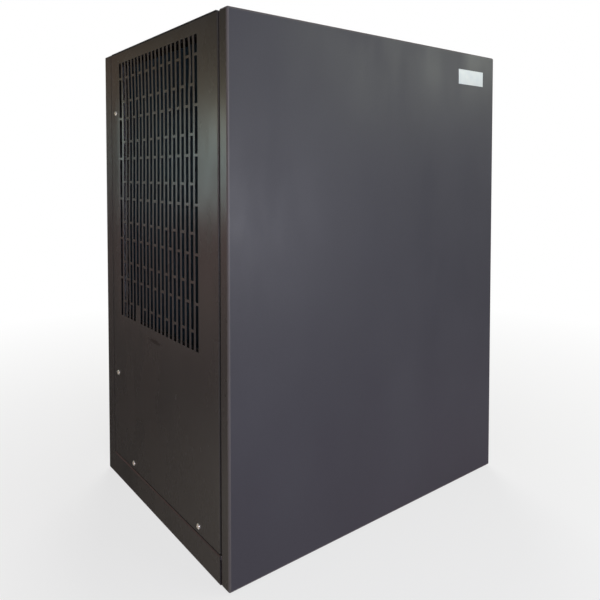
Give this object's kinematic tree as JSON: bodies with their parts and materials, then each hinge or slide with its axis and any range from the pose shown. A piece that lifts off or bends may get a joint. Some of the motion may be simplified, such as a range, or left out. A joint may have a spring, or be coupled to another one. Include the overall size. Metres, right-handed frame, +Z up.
{
  "type": "air-to-water heat pump",
  "caption": "Tall graphite sheet-metal air-to-water heat pump with a plain front panel, slotted air grilles on both sides and a recessed connection plate at the rear.",
  "frame": {"origin": "on the ground under the middle of the cabinet", "axes": "+Z up, -Y out of the plain front panel, -X out of the slotted inlet side, +X out of the slotted outlet side"},
  "size_m": [0.82, 0.625, 1.1],
  "materials": {
    "powder_coat": "satin graphite powder coat",
    "galvanised": "galvanised",
    "coated_fin": "blue hydrophilic coat",
    "copper": "drawn copper",
    "brass": "machined brass",
    "stainless": "brazed stainless steel",
    "black_enamel": "gloss enamel",
    "black_plastic": "moulded",
    "rubber": "matt",
    "cast_aluminium": "as cast",
    "circuit_board": "green solder mask",
    "pump_enamel": "satin enamel"
  },
  "bodies": {
    "root": {"base_channel_left": "powder_coat", "base_channel_right": "powder_coat", "base_channel_front": "galvanised", "base_channel_rear": "galvanised", "floor_plate": "galvanised", "post_front_left": "galvanised", "post_front_right": "galvanised", "post_rear_left": "galvanised", "post_rear_right": "galvanised", "top_rail_left": "galvanised", "top_rail_right": "galvanised", "side_panel_left": "powder_coat", "side_panel_right": "powder_coat", "top_cover": "powder_coat", "rear_panel": "powder_coat", "connection_plate": "galvanised", "water_flow_socket": "brass", "water_return_socket": "brass", "power_gland": "black_plastic", "signal_gland": "black_plastic", "partition_deck": "galvanised", "drain_pan": "galvanised", "condensate_pipe": "black_plastic", "evaporator_fins": "coated_fin", "evaporator_end_plate_front": "galvanised", "evaporator_end_plate_rear": "galvanised", "evaporator_gas_header": "copper", "evaporator_liquid_header": "copper", "fan_plate": "galvanised", "fan_ring": "black_plastic", "fan_motor_bar": "galvanised", "fan_motor": "cast_aluminium", "compressor": "black_enamel", "compressor_grommet_1": "rubber", "compressor_grommet_2": "rubber", "compressor_grommet_3": "rubber", "terminal_cover": "black_plastic", "suction_accumulator": "black_enamel", "compressor_inlet_elbow": "copper", "four_way_valve": "brass", "discharge_pipe": "copper", "hot_gas_pipe": "copper", "evaporator_gas_pipe": "copper", "plate_condenser": "stainless", "condensed_liquid_pipe": "copper", "liquid_receiver": "black_enamel", "receiver_outlet_pipe": "copper", "filter_drier": "copper", "drier_outlet_pipe": "copper", "expansion_valve": "brass", "evaporator_liquid_pipe": "copper", "circulation_pump": "pump_enamel", "water_flow_pipe": "copper", "water_return_pipe": "copper", "electrical_box": "galvanised", "electrical_box_cover": "galvanised", "inverter_heat_sink": "cast_aluminium", "inverter_board": "circuit_board"},
    "fan_rotor": {"fan_impeller": "black_plastic"},
    "front_cover": {"front_panel": "powder_coat"}
  },
  "joints": [
    {"name": "fan_spin", "type": "hinge", "parent": "root", "child": "fan_rotor", "pos_m": [0.2345, -0.0035, 0.7391], "axis": [1, 0, 0], "continuous": true},
    {"name": "front_panel_pull", "type": "slide", "parent": "root", "child": "front_cover", "axis": [0, -1, 0], "range_m": [0, 0.06]}
  ]
}
